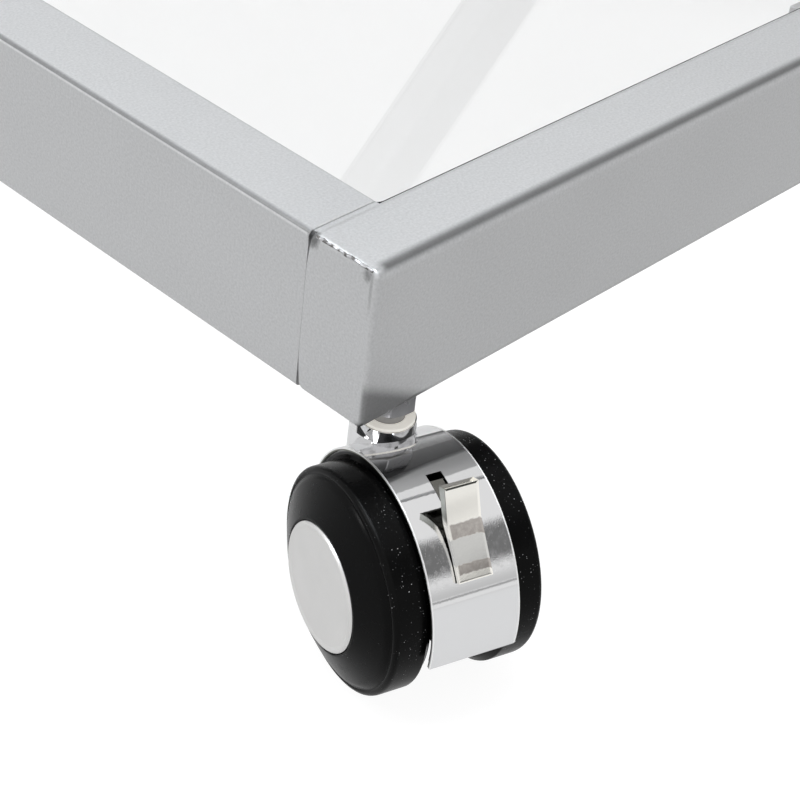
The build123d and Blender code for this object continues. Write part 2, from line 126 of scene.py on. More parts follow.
# %% A board to plug nodes into
class Board:
    """A node tree that takes nodes by type, with their settings and sockets."""

    def __init__(self, tree):
        self.tree = tree

    def node(self, kind, settings=None, inputs=None, output=0):
        made = self.tree.nodes.new(kind)
        for name, value in (settings or {}).items():
            setattr(made, name, value)
        for name, value in (inputs or {}).items():
            self.plug(made.inputs[name], value)
        return Signal(self, made.outputs[output]) if made.outputs else None

    def plug(self, socket, value):
        if isinstance(value, Signal):
            self.tree.links.new(value.socket, socket)
        else:
            socket.default_value = value

    def sum(self, operation, *values):
        return self.node("ShaderNodeMath", {"operation": operation}, dict(enumerate(values)))

    def vector_sum(self, operation, *vectors):
        """A sum on two vectors, or on one, that gives a vector."""
        return self.node("ShaderNodeVectorMath", {"operation": operation}, dict(enumerate(vectors)))

    def measure(self, operation, *vectors):
        """A sum on vectors that gives a number."""
        return self.node("ShaderNodeVectorMath", {"operation": operation}, dict(enumerate(vectors)),
                         output="Value")

    def place(self):
        """Where a point lies on the object, in millimetres."""
        where = self.node("ShaderNodeTexCoord", output="Object")
        return self.node("ShaderNodeVectorMath", {"operation": "SCALE"}, {0: where, "Scale": 1 / MM})

    def mark(self, name):
        """A number that the mesh carries at each of its points or faces."""
        return self.node("ShaderNodeAttribute", {"attribute_name": name}, output="Fac")

    def split(self, vector):
        """The three parts of a vector."""
        made = self.node("ShaderNodeSeparateXYZ", inputs={0: vector})
        return [Signal(self, socket) for socket in made.socket.node.outputs]

    def noise(self, per_mm, detail):
        """Soft cloudy variation from 0 to 1, with so many lumps to a millimetre."""
        return self.node("ShaderNodeTexNoise", inputs={
            "Vector": self.place(), "Scale": per_mm, "Detail": detail})

    def blend(self, factor, first, second):
        """Mix two colours."""
        made = self.tree.nodes.new("ShaderNodeMix")
        made.data_type = "RGBA"
        self.plug(made.inputs[0], factor)
        self.plug(made.inputs[6], first)
        self.plug(made.inputs[7], second)
        return Signal(self, made.outputs[2])

    def specks(self, per_mm, size, share):
        """Small round flecks: some of the cells of a grid hold one."""
        cells = self.node("ShaderNodeTexVoronoi", inputs={"Vector": self.place(), "Scale": per_mm})
        tints = Signal(self, cells.socket.node.outputs["Color"])
        lot = self.node("ShaderNodeSeparateColor", inputs={0: tints})
        bright = Signal(self, lot.socket.node.outputs["Green"])
        return cells.fade(size, size * 0.4) * lot.fade(share, share * 0.8) * (bright * bright)


print("a board knows:", [name for name in vars(Board) if not name.startswith("_")])

# %% Start a material
def finish(name, **constants):
    """Start a material and set what is the same all over it."""
    material = bpy.data.materials.new(name)
    material.use_nodes = True
    shader = material.node_tree.nodes["Principled BSDF"]
    for socket, value in constants.items():
        shader.inputs[socket.replace("_", " ").title().replace("Ior", "IOR")].default_value = value
    return material, Board(material.node_tree), shader.inputs


def raise_surface(board, sockets, height, depth_mm):
    """Let a pattern stand proud of the surface."""
    bump = board.node("ShaderNodeBump", inputs={
        "Height": height, "Distance": depth_mm * MM, "Strength": 1.0})
    board.plug(sockets["Normal"], bump)


print("materials so far:", len(bpy.data.materials))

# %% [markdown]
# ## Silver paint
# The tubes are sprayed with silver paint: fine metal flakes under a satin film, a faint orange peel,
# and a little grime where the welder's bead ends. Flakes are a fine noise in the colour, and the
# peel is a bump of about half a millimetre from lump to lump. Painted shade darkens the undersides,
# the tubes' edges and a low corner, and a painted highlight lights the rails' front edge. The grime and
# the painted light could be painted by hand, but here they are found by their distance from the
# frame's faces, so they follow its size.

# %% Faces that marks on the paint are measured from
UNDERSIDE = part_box("bottom_tube_front")[0].z / MM
TUBE_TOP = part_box("bottom_tube_front")[1].z / MM
END_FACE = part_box("tube_end_plates")[1].x / MM
SIDE_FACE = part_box("tube_end_plates")[1].y / MM
RAIL_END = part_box("lower_rail_left")[1].y / MM
print("tube from", round(UNDERSIDE, 1), "to", round(TUBE_TOP, 1), "mm, rail to", round(RAIL_END, 1))

# %% Marks on the paint
def smudge(board, place, inward, down, size):
    """A ragged dark spot on the end plates, so far from their side and top."""
    length, depth, height = place
    offset = board.node("ShaderNodeCombineXYZ", inputs={
        "X": length - END_FACE, "Y": depth - (SIDE_FACE - inward),
        "Z": (height - (TUBE_TOP - down)) * 0.7})
    ragged = board.measure("LENGTH", offset) + board.noise(0.9, 4.0) * 1.6
    return ragged.fade(size + 1.4, size)


def shaded_below(board, place):
    """Painted shade on the undersides, and on the tubes' low edges beside them."""
    length, depth, height = place
    low_edge = height.fade(UNDERSIDE + 2.4, UNDERSIDE + 0.1)
    low_edge = low_edge * depth.fade(SIDE_FACE - 3.0, SIDE_FACE - 1.0)
    flat = height.fade(UNDERSIDE + 0.3, UNDERSIDE + 0.1)
    return board.sum("MAXIMUM", low_edge * 0.7, flat * 0.82)


def marks_and_painted_shade(board, place):
    """The dark marks, each with its strength: stains at the tube ends, and painted shade and a painted
    reflection at edges and a low corner.
    """
    length, depth, height = place
    first_end = smudge(board, place, SIDE_FACE - RAIL_END - 1.3, 1.0, 1.6)
    last_end = smudge(board, place, 2.9, 1.7, 1.1)
    streak = abs(depth - (SIDE_FACE - 1.7)).fade(0.6, 0.1)
    streak = streak * height.fade(TUBE_TOP - 13, TUBE_TOP - 5)
    # Painted shade: a dark line along the tube's outer top edge, where its rounding begins.
    tube_edge_shade = depth.band(SIDE_FACE - 4.1, SIDE_FACE - 1.5, SIDE_FACE - 1.2, SIDE_FACE - 0.15)
    tube_edge_shade = tube_edge_shade * height.fade(TUBE_TOP - 3.0, TUBE_TOP - 2.5)
    tube_edge_shade = tube_edge_shade * length.fade(END_FACE - 1.0, END_FACE - 4.0)
    # Painted shade on either side of the rail's top edge, which keeps its highlight narrow.
    rail_edge_shade = length.band(END_FACE - 1.5, END_FACE - 0.55, END_FACE - 0.22, END_FACE - 0.08)
    rail_edge_shade = rail_edge_shade * height.fade(TUBE_TOP - 0.95, TUBE_TOP - 0.7)
    rail_edge_shade = rail_edge_shade * depth.fade(RAIL_END + 0.2, RAIL_END)
    # Painted reflection: the front face darkens low down near the tube's end, as if it mirrored the
    # caster.
    slant = height - UNDERSIDE + (END_FACE - length) * 0.53
    caster_reflection = slant.fade(13.2, 8.8) * depth.fade(SIDE_FACE - 1.5, SIDE_FACE - 0.3)
    return ((first_end, 0.72), (last_end, 0.55), (streak, 0.28), (tube_edge_shade, 0.76), (rail_edge_shade, 0.68),
            (caster_reflection, 0.6))


def rail_highlight(place):
    """A painted highlight along the rails' front edge."""
    length, depth, height = place
    edge = length.fade(END_FACE - 0.25, END_FACE - 0.12) * height.fade(TUBE_TOP - 1.3, TUBE_TOP - 1.0)
    return edge * depth.fade(RAIL_END + 0.2, RAIL_END)


print("paint marks are kept to", round(END_FACE), "by", round(SIDE_FACE), "mm from the middle")

# %% Paint of the frame
def silver_paint():
    material, board, sockets = finish("silver_paint", metallic=0.55, coat_weight=0.45,
                                      coat_roughness=0.12)
    length, depth, height = board.split(board.place())
    place = abs(length), abs(depth), height
    stain_and_shade = 0.0
    for mark, strength in marks_and_painted_shade(board, place):
        stain_and_shade = board.sum("MAXIMUM", stain_and_shade, mark * strength)
    flakes = board.noise(1.7, 3.0)
    clouds = board.noise(0.03, 3.0)
    tone = 0.41 + flakes * 0.24 + clouds * 0.05
    # Painted shade below and the marks darken the tone, and the painted highlight lightens it.
    tone = tone * (1 - shaded_below(board, place)) * (1 - stain_and_shade) * (1 + rail_highlight(place) * 0.15)
    shade = board.node("ShaderNodeCombineColor", inputs={
        "Red": tone, "Green": tone * 1.003, "Blue": tone * 1.01})
    board.plug(sockets["Base Color"], shade)
    board.plug(sockets["Roughness"], 0.36 + board.noise(0.6, 2.0) * 0.08)
    raise_surface(board, sockets, board.noise(1.2, 3.0), 0.02)
    return material


paint = silver_paint()
print("finish:", paint.name, "nodes:", len(paint.node_tree.nodes))

# %% [markdown]
# ## Chrome and its dust
# The hoods are polished chrome, which has hardly any colour of its own. What tells it from a mirror is
# the dust that settles low on a caster: pale flecks that only show where the mirror is dark. The
# sheet's cut edges are dull, and its hems get a painted highlight, pale and rough. Both are found by
# their distance from the axle and along it, so each caster has a finish of its own.

# %% Chrome of the hoods
HOOD_RADIUS = 28.9
HOOD_END = 10.9
CUT_EDGE = HOOD_RADIUS - 0.3
DUSTY = (40.2, 42.0, 48, 52)


def about_axle(board, caster):
    """How far a point lies from a caster's axle, and how far along it, in millimetres."""
    roll = joints[f"{caster}_roll_a"]
    spoke = board.vector_sum("SUBTRACT", board.place(), Vector(roll["pos_m"]) / MM)
    across = board.vector_sum("CROSS_PRODUCT", spoke, roll["axis"])
    return board.measure("LENGTH", across), board.measure("DOT_PRODUCT", spoke, roll["axis"])


def chrome(caster):
    material, board, sockets = finish(f"{caster}_chrome", metallic=1.0)
    mirror, pale, cut = (0.74, 0.74, 0.745, 1), (0.95, 0.95, 0.94, 1), (0.13, 0.135, 0.115, 1)
    height = board.split(board.place())[2]
    low_down = height.band(*DUSTY)
    dust = board.specks(3.2, 0.26, 0.7) * low_down * board.noise(0.25, 2.0).fade(0.3, 0.55)
    film = low_down * board.noise(0.8, 4.0).fade(0.35, 0.7) * 0.5
    reach, along = about_axle(board, caster)
    dull = reach.fade(CUT_EDGE, CUT_EDGE - 0.15)
    # Painted highlight: the hems are paler and rougher than the mirror round them.
    hem_highlight = abs(along).fade(HOOD_END - 0.4, HOOD_END - 0.25) * (1 - dull)
    plated = board.blend(dust + hem_highlight, mirror, pale)
    board.plug(sockets["Base Color"], board.blend(dull, plated, cut))
    board.plug(sockets["Roughness"], 0.03 + dust * 0.6 + film * 0.35 + dull * 0.25 + hem_highlight * 0.45)
    raise_surface(board, sockets, board.noise(4.0, 2.0) * (0.15 + low_down), 0.014)
    return material


chrome_finish = {caster: chrome(caster) for caster in CASTERS}
print("chrome:", len(chrome_finish), "hoods")

# %% [markdown]
# ## Die-cast bodies
# A caster's body is a zinc casting, plated like the hood. Only its neck shows: a lumpy mirror, with
# stains. What lies under the hood gets painted shade, dark and rough, or it would shine through the
# lever's slot.

# %% Plated castings
def casting(caster):
    material, board, sockets = finish(f"{caster}_casting", metallic=1.0)
    mirror, stained, hood_shade = (0.62, 0.62, 0.63, 1), (0.42, 0.42, 0.42, 1), (0.03, 0.03, 0.03, 1)
    polished = board.blend(board.noise(0.5, 4.0).fade(0.45, 0.7), mirror, stained)
    # Painted shade: dark and rough inside the hood's radius.
    covered = about_axle(board, caster)[0].fade(CUT_EDGE, CUT_EDGE - 1.0)
    board.plug(sockets["Base Color"], board.blend(covered, polished, hood_shade))
    board.plug(sockets["Roughness"], 0.03 + covered * 0.45)
    raise_surface(board, sockets, board.noise(0.3, 0.0), 0.2)
    return material


casting_finish = {caster: casting(caster) for caster in CASTERS}
print("castings:", len(casting_finish))

# %% [markdown]
# ## Nickel levers
# A lever is stamped from sheet and plated with warm nickel. Two brownish bands run across its pads,
# with greyer plating between them. Its back, which looks at the axle, gets painted shade, nearly black:
# the mesh marks those faces, and the finish reads the mark.

# %% Nickel of the levers
LEVER_SIDE = 4.2
UPPER_BROWN = (50.25, 50.55, 52.8, 53.1)
LOWER_BROWN = (44.05, 44.35, 45.75, 46.05)
BETWEEN = (45.75, 46.05, 50.25, 50.55)
SHADED_WALL = (52, 54)


def nickel(caster):
    material, board, sockets = finish(f"{caster}_nickel", metallic=1.0)
    warm, grey, brown = (0.95, 0.93, 0.875, 1), (0.6, 0.6, 0.59, 1), (0.33, 0.30, 0.28, 1)
    # Tones of painted shade for the side wall, the part under the hood and the back.
    side, slot_shade, bare = (0.2, 0.2, 0.18, 1), (0.17, 0.165, 0.15, 1), (0.07, 0.07, 0.062, 1)
    reach, along = about_axle(board, caster)
    # Painted shade on the part of the lever that lies within the hood's radius, under the slot.
    inside = reach.fade(HOOD_RADIUS + 0.4, HOOD_RADIUS)
    height = board.split(board.place())[2]
    ragged = height + board.noise(0.9, 4.0) * 0.8
    face = along.fade(LEVER_SIDE - 0.45, LEVER_SIDE - 0.85)
    # Two brownish bands across the pads, ragged at their edges, with greyer plating between them.
    brown_bands = (ragged.band(*UPPER_BROWN) + ragged.band(*LOWER_BROWN)) * face
    brown_bands = brown_bands * (0.55 + board.noise(0.9, 4.0) * 0.5)
    # Painted shade: the lever's side wall is darker and rougher towards the top.
    wall_shade = along.fade(LEVER_SIDE - 0.25, LEVER_SIDE - 0.05) * height.fade(*SHADED_WALL)
    plated = board.blend(ragged.band(*BETWEEN) * 0.8, warm, grey)
    # The brown bands, then painted shade on the side wall, under the hood and on the back.
    for mask, tone in ((brown_bands, brown), (wall_shade, side), (inside, slot_shade), (board.mark("bare"), bare)):
        plated = board.blend(mask, plated, tone)
    board.plug(sockets["Base Color"], plated)
    board.plug(sockets["Roughness"], 0.16 + board.noise(2.0, 3.0) * 0.1 + wall_shade * 0.3)
    raise_surface(board, sockets, board.noise(1.2, 2.0), 0.01)
    return material


lever_finish = {caster: nickel(caster) for caster in LOCKING}
print("levers:", len(lever_finish))

# %% [markdown]
# ## Satin caps and zinc
# The hub caps are satin metal with faint stains, and stems, axles and bolts are zinc plated. Neither
# needs more than a soft noise in its colour and its gloss.

# %% Caps, stems and bolts
def satin_cap():
    material, board, sockets = finish("cap_satin", metallic=0.9)
    clean, stained = (0.73, 0.72, 0.71, 1), (0.65, 0.645, 0.635, 1)
    board.plug(sockets["Base Color"], board.blend(board.noise(0.12, 5.0), clean, stained))
    board.plug(sockets["Roughness"], 0.3 + board.noise(3.0, 2.0) * 0.12)
    raise_surface(board, sockets, board.noise(4.0, 1.0), 0.004)
    return material


def zinc_steel():
    material, board, sockets = finish("zinc_steel", metallic=1.0)
    spangle = board.noise(0.5, 3.0)
    board.plug(sockets["Base Color"], board.blend(spangle, (0.4, 0.4, 0.41, 1), (0.3, 0.3, 0.31, 1)))
    board.plug(sockets["Roughness"], 0.22 + spangle * 0.14)
    return material


cap_finish = satin_cap()
zinc_finish = zinc_steel()
print("finishes:", cap_finish.name, zinc_finish.name)

# %% [markdown]
# ## Black plastic, nylon, glass and clear pads
# The wheels are black plastic: smooth sides, and a tread with pale specks of dust. Each point of a
# wheel carries its distance from the axle, which tells the finish where the tread begins. Glass needs
# no pattern at all: it takes its look from what stands behind it, so only its constants are set.

# %% Plastics and glass
TYRE_SEAM = 24.8


def wheel_plastic():
    material, board, sockets = finish("wheel_plastic", ior=1.5, specular_ior_level=0.065)
    black, dusty = (0.003, 0.003, 0.003, 1), (0.7, 0.7, 0.7, 1)
    patches = board.noise(0.12, 3.0).fade(0.45, 0.6)
    tread = board.mark("reach").fade(TYRE_SEAM, TYRE_SEAM + 0.2)
    dust = board.specks(1.6, 0.24, 0.6) * patches * tread
    haze = board.noise(0.3, 4.0).fade(0.5, 0.8) * 0.5
    board.plug(sockets["Base Color"], board.blend(dust, black, dusty))
    board.plug(sockets["Roughness"], 0.25 + haze * 0.2 + dust * 0.5)
    return material


def nylon():
    # A faint painted glow lifts the bush out of the shade of the tube above it.
    material, board, sockets = finish("bush_nylon", roughness=0.45, emission_strength=0.36,
                                      emission_color=(1.0, 0.96, 0.88, 1))
    pale, cream = (0.95, 0.93, 0.88, 1), (0.88, 0.85, 0.79, 1)
    board.plug(sockets["Base Color"], board.blend(board.noise(0.4, 3.0), pale, cream))
    return material


def shelf_glass():
    return finish("shelf_glass", transmission_weight=1.0, ior=1.5, roughness=0.0,
                  base_color=(0.945, 0.947, 0.946, 1))[0]


def clear_pad():
    material, board, sockets = finish("clear_pad", transmission_weight=0.6, ior=1.45,
                                      base_color=(0.85, 0.86, 0.86, 1))
    board.plug(sockets["Roughness"], 0.25 + board.noise(1.0, 2.0) * 0.1)
    return material


FINISHES = {
    "frame_paint": paint, "caster_chrome": chrome_finish["front_left"],
    "lever_nickel": lever_finish["front_left"], "cap_satin": cap_finish,
    "zinc_steel": zinc_finish, "wheel_plastic": wheel_plastic(), "bush_nylon": nylon(),
    "shelf_glass": shelf_glass(), "clear_pad": clear_pad()}
print("finishes:", sorted(FINISHES))

# %% Paint every node in its slot's finish
body_of = {}
for body, members in frame["record"]["behaviour"]["bodies"].items():
    for member in members:
        body_of[member] = body
slot_of = {row["node"]: row["material_slot"] for row in frame["record"]["subparts"]}
for name, node in nodes.items():
    node.data.materials.clear()
    node.data.materials.append(FINISHES[slot_of[name]])
print("slots in use:", sorted(set(slot_of.values())))

# %% [markdown]
# ## Working by hand, in code
# Operators act on whatever is selected, so each step starts by letting go of everything. Edges and
# faces are then picked by where they lie, which is how a hand would click them. A finished piece has
# its place in its mesh, smooth faces between its sharp edges, a name, a finish and a body to ride on.

# %% Select, settle and dress a piece
def let_go():
    """Leave edit mode and deselect everything."""
    if bpy.context.object and bpy.context.object.mode != "OBJECT":
        bpy.ops.object.mode_set(mode="OBJECT")
    bpy.ops.object.select_all(action="DESELECT")


def take(piece):
    """Make one piece the selected and active one."""
    let_go()
    piece.select_set(True)
    bpy.context.view_layer.objects.active = piece


def settle(piece, angle=35):
    """Put the piece's place into its mesh and smooth all but its sharp edges."""
    take(piece)
    bpy.ops.object.transform_apply(location=True, rotation=True, scale=True)
    bpy.ops.object.shade_smooth_by_angle(angle=math.radians(angle))
    bpy.ops.object.modifier_add(type="WEIGHTED_NORMAL")
    piece.modifiers[-1].keep_sharp = True
    bpy.ops.object.modifier_apply(modifier=piece.modifiers[-1].name)
    return piece


def dress(piece, name, body, material, slot, *stands_for):
    """Name a finished piece, give it its finish and let it ride on its body."""
    piece.name = name
    piece.data.name = name
    piece.data.materials.clear()
    piece.data.materials.append(material)
    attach(piece, body)
    if stands_for:
        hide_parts(*stands_for)
    return piece


let_go()
print("selected:", len(bpy.context.selected_objects))

# %% [markdown]
# ## Softened edges
# A solid's edges are mathematically sharp and real ones never are: a stamped lever, a hex collar and a
# rolled hood all show a thin bright line where they turn. A copy of the node gets its doubles merged,
# its flat faces joined and a narrow bevel, and it stands for the node.

# %% Soften the stems, brackets, bolts and tabs
MERGE = 0.002 * MM
FLAT = math.radians(0.5)
SHARP = math.radians(40)
STEM_EDGE = 0.45
SHEET_EDGE = 0.4


def soften(name, width_mm, segments=3, material=None, shape=None):
    """Stand a copy of a node with rounded edges in its place."""
    piece = nodes[name].copy()
    piece.data = nodes[name].data.copy()
    piece.parent = None
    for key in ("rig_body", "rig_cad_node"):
        del piece[key]
    bpy.context.scene.collection.objects.link(piece)
    take(piece)
    bpy.ops.mesh.customdata_custom_splitnormals_clear()
    bpy.ops.object.mode_set(mode="EDIT")
    bpy.ops.mesh.select_all(action="SELECT")
    bpy.ops.mesh.remove_doubles(threshold=MERGE)
    bpy.ops.mesh.dissolve_limited(angle_limit=FLAT)
    bpy.ops.object.mode_set(mode="OBJECT")
    bpy.ops.object.modifier_add(type="BEVEL")
    bevel = piece.modifiers[-1]
    bevel.width = width_mm * MM
    bevel.segments = segments
    bevel.limit_method = "ANGLE"
    bevel.angle_limit = SHARP
    bevel.use_clamp_overlap = True
    bpy.ops.object.modifier_apply(modifier=bevel.name)
    if shape:
        shape(piece)
    settle(piece)
    slot = slot_of[name]
    return dress(piece, f"{name}_soft", body_of[name], material or FINISHES[slot], slot, name)


soft = [soften("caster_stems", STEM_EDGE)]
for name in ("corner_brackets", "bracket_bolts", "lower_shelf_tabs", "upper_shelf_tabs"):
    soft.append(soften(name, SHEET_EDGE))
print("softened:", [piece.name for piece in soft])

# %% Soften the casters' bodies, bushes and hoods
CAST_EDGE = 0.25
BUSH_EDGE = 0.2
HOOD_EDGE = 0.25
ROUND_WITHIN = 0.02 * MM


def true_round(piece, roll):
    """Point the normals of the faces round an axle straight away from it, as if turned."""
    centre = Vector(roll["pos_m"])
    axis = Vector(roll["axis"])
    mesh = piece.data
    normals = [corner.vector.copy() for corner in mesh.corner_normals]
    for face in mesh.polygons:
        spokes = []
        for index in face.vertices:
            spoke = mesh.vertices[index].co - centre
            spokes.append(spoke - axis * spoke.dot(axis))
        if max(abs(spoke.length - HOOD_RADIUS * MM) for spoke in spokes) < ROUND_WITHIN:
            for corner, spoke in zip(face.loop_indices, spokes):
                normals[corner] = spoke.normalized()
    mesh.normals_split_custom_set(normals)


for caster in CASTERS:
    soft.append(soften(f"{caster}_caster_body", CAST_EDGE, material=casting_finish[caster]))
    soft.append(soften(f"{caster}_swivel_bush", BUSH_EDGE))
    soft.append(soften(f"{caster}_hood", HOOD_EDGE, material=chrome_finish[caster]))
    true_round(soft[-1], joints[f"{caster}_roll_a"])
print("softened:", len(soft), "faces:", sum(len(piece.data.polygons) for piece in soft))

# %% [markdown]
# ## Stamped levers
# The press that stamps a lever leaves a shallow panel in each of its two pads, and a groove behind the
# lip that a foot lifts. Insetting a face and moving it inwards does both in one step.

# %% Press faces into a lever
FACES_OUT = 0.7
FACES_UP = 0.5
PANEL_RIM = 0.5 * MM
PANEL_DEEP = 0.28 * MM
PANEL_LEAST = 30 * MM * MM
LIP_RIM = 0.3 * MM
LIP_DEEP = 0.8 * MM
LIP_LEAST = 6 * MM * MM
LIP_TALL = 2 * MM


def press(piece, wanted, rim, deep):
    """Press the faces that pass a test into a piece, inside a rim."""
    take(piece)
    bpy.ops.object.mode_set(mode="EDIT")
    bpy.ops.mesh.select_mode(type="FACE")
    bpy.ops.mesh.select_all(action="DESELECT")
    bpy.ops.object.mode_set(mode="OBJECT")
    for face in piece.data.polygons:
        face.select = wanted(face)
    pressed = sum(face.select for face in piece.data.polygons)
    bpy.ops.object.mode_set(mode="EDIT")
    bpy.ops.mesh.inset(thickness=rim, depth=-deep)
    bpy.ops.object.mode_set(mode="OBJECT")
    return pressed


def press_panel(piece):
    """Press a shallow panel into each pad of a lever, and a groove behind its upper lip."""
    centre = Vector(joints[piece.name.split("_brake")[0] + "_roll_a"]["pos_m"])
    top = max(vertex.co.z for vertex in piece.data.vertices)
    pads = press(piece, lambda face: face.area > PANEL_LEAST
                 and (face.center - centre).normalized().dot(face.normal) > FACES_OUT,
                 PANEL_RIM, PANEL_DEEP)
    lips = press(piece, lambda face: face.area > LIP_LEAST and face.normal.z > FACES_UP
                 and face.center.z > top - LIP_TALL, LIP_RIM, LIP_DEEP)
    print(piece.name, "pads:", pads, "lips:", lips)


print("panels", round(PANEL_DEEP / MM, 2), "mm deep, lip", round(LIP_DEEP / MM, 2), "mm deep")

# %% Soften and press the levers
LEVER_EDGE = 0.55
LEVER_STEPS = 4
FACES_AXLE = 0.35


def shade_back(piece, roll):
    """Mark the faces of a lever that look at the axle, which get painted shade."""
    centre = Vector(roll["pos_m"])
    bare = piece.data.attributes.new("bare", "FLOAT", "FACE")
    for face in piece.data.polygons:
        inward = (centre - face.center).normalized()
        bare.data[face.index].value = inward.dot(face.normal) > FACES_AXLE


for caster in LOCKING:
    soft.append(soften(f"{caster}_brake_lever", LEVER_EDGE, LEVER_STEPS, lever_finish[caster],
                       press_panel))
    shade_back(soft[-1], joints[f"{caster}_roll_a"])
print("softened:", len(soft), "faces:", sum(len(piece.data.polygons) for piece in soft))

# %% [markdown]
# ## End plates and weld beads
# Each side tube is closed by a plate, welded on and ground flush, so its edges are rounder than the
# tube's. Along the top edge the bead was left as it came: a row of small shiny lumps. A plate is a cube
# with two bevels. A bead is a thin rod, cut into short lengths, roughened at random and smoothed.

# %% Where the plates go
plate_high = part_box("tube_end_plates")[1]
tube_low, tube_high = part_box("bottom_tube_front")
tube_wide = tube_high.y - tube_low.y
tube_tall = tube_high.z - tube_low.z
plate_thick = plate_high.x - tube_high.x
tube_tops = (tube_high.z, plate_high.z)
CORNERS = [(end, side, top) for top in tube_tops for side in (-1, 1) for end in (-1, 1)]
print("tube ends:", len(CORNERS), "plates", round(plate_thick / MM, 2), "mm thick")

# %% End plates
PLATE_CORNER = 2.2 * MM
PLATE_ROUND = 1.2 * MM
SEAM_SHARE = 0.04
TOUCHING = 1e-6


def pick_edges(piece, wanted):
    """Enter edit mode with only the edges selected whose two ends pass a test."""
    take(piece)
    bpy.ops.object.mode_set(mode="EDIT")
    bpy.ops.mesh.select_mode(type="EDGE")
    bpy.ops.mesh.select_all(action="DESELECT")
    bpy.ops.object.mode_set(mode="OBJECT")
    places = [vertex.co for vertex in piece.data.vertices]
    for edge in piece.data.edges:
        start, end = edge.vertices
        edge.select = wanted(places[start], places[end])
    bpy.ops.object.mode_set(mode="EDIT")


def block(middle, size):
    """Add a cube of a size at a place."""
    let_go()
    bpy.ops.mesh.primitive_cube_add(size=1, location=middle, scale=size)
    return bpy.context.object


def end_plate(end, side, top):
    """Round off one plate: its four corners first, then all round its outer face."""
    middle = Vector((end * (plate_high.x - plate_thick / 2), side * (plate_high.y - tube_wide / 2),
                     top - tube_tall / 2))
    plate = block(middle, (plate_thick, tube_wide, tube_tall))
    bpy.ops.object.transform_apply(location=True, rotation=True, scale=True)
    pick_edges(plate, lambda a, b: abs(a.x - b.x) > plate_thick / 2)
    bpy.ops.mesh.bevel(offset=PLATE_CORNER, segments=6, affect="EDGES")
    outer_face = end * plate_high.x
    seam = side * (plate_high.y - tube_wide)
    pick_edges(plate, lambda a, b: max(abs(a.x - outer_face), abs(b.x - outer_face)) < TOUCHING)
    bpy.ops.transform.edge_bevelweight(value=1)
    pick_edges(plate, lambda a, b: max(abs(a.x - outer_face), abs(b.x - outer_face)) < TOUCHING
               and max(abs(a.y - seam), abs(b.y - seam)) < TOUCHING)
    bpy.ops.transform.edge_bevelweight(value=SEAM_SHARE - 1)
    let_go()
    take(plate)
    bpy.ops.object.modifier_add(type="BEVEL")
    rounding = plate.modifiers[-1]
    rounding.limit_method = "WEIGHT"
    rounding.width = PLATE_ROUND
    rounding.segments = 5
    bpy.ops.object.modifier_apply(modifier=rounding.name)
    return plate


def join(pieces):
    """Join pieces into the first of them."""
    take(pieces[0])
    for piece in pieces[1:]:
        piece.select_set(True)
    bpy.ops.object.join()
    return pieces[0]


plates = settle(join([end_plate(*corner) for corner in CORNERS]))
dress(plates, "end_plates", "frame", paint, "frame_paint", "tube_end_plates")
print("end plates:", len(CORNERS), "faces:", len(plates.data.polygons))

# %% Paint in the seams
FILL_REACH = 1.3 * MM
FILL_DROP = 0.22 * MM
FILL_DEEP = 1.8 * MM
FILL_SHY = 1.3 * MM
FILL_INSIDE = 0.5 * MM
rail_low, rail_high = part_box("lower_rail_left")


def seam_fill(end, side, top):
    """Lay the paint that half fills the groove between a rail's end and a round tube."""
    across = rail_high.x - rail_low.x - FILL_SHY - FILL_INSIDE
    middle = Vector((end * (plate_high.x - FILL_SHY - across / 2),
                     side * (rail_high.y + FILL_REACH / 2), top - FILL_DROP - FILL_DEEP / 2))
    return block(middle, (across, FILL_REACH, FILL_DEEP))


fills = settle(join([seam_fill(*corner) for corner in CORNERS]))
dress(fills, "seam_paint", "frame", paint, "frame_paint")
print("seams filled:", len(CORNERS))

# %% Weld beads
BEAD_RADIUS = 0.37 * MM
BEAD_INSET = BEAD_RADIUS * 1.05
BEAD_LENGTH = 16.5 * MM
BEAD_LUMPS = 22
BEAD_SIDES = 10
BEAD_SMOOTH = 80
BEAD_ROUGH = 0.2 * MM


def weld_bead(end, side, top, seed):
    """Roughen a thin rod along a plate's top edge."""
    middle = Vector((end * (plate_high.x - BEAD_INSET), side * (plate_high.y - tube_wide / 2),
                     top - BEAD_INSET))
    let_go()
    bpy.ops.mesh.primitive_cylinder_add(vertices=BEAD_SIDES, radius=BEAD_RADIUS, depth=BEAD_LENGTH,
                                        location=middle, rotation=(math.radians(90), 0, 0))
    bead = bpy.context.object
    bpy.ops.object.transform_apply(location=True, rotation=True, scale=True)
    pick_edges(bead, lambda a, b: abs(a.y - b.y) > BEAD_LENGTH / 2)
    bpy.ops.mesh.subdivide(number_cuts=BEAD_LUMPS)
    bpy.ops.mesh.select_all(action="SELECT")
    bpy.ops.transform.vertex_random(offset=BEAD_ROUGH, uniform=0.3, normal=0.7, seed=seed)
    let_go()
    take(bead)
    bpy.ops.object.modifier_add(type="SUBSURF")
    bead.modifiers[-1].levels = 1
    bead.modifiers[-1].render_levels = 1
    bpy.ops.object.modifier_apply(modifier=bead.modifiers[-1].name)
    return bead


def bead_metal():
    """Paint over a bead: shinier than on the flats, with darker, rougher patches."""
    material, board, sockets = finish("bead_paint", metallic=0.9)
    bright, dark = (0.46, 0.46, 0.47, 1), (0.16, 0.155, 0.15, 1)
    dark_patches = board.noise(1.0, 3.0).fade(0.56, 0.42)
    board.plug(sockets["Base Color"], board.blend(dark_patches, bright, dark))
    board.plug(sockets["Roughness"], 0.32 + dark_patches * 0.3)
    return material


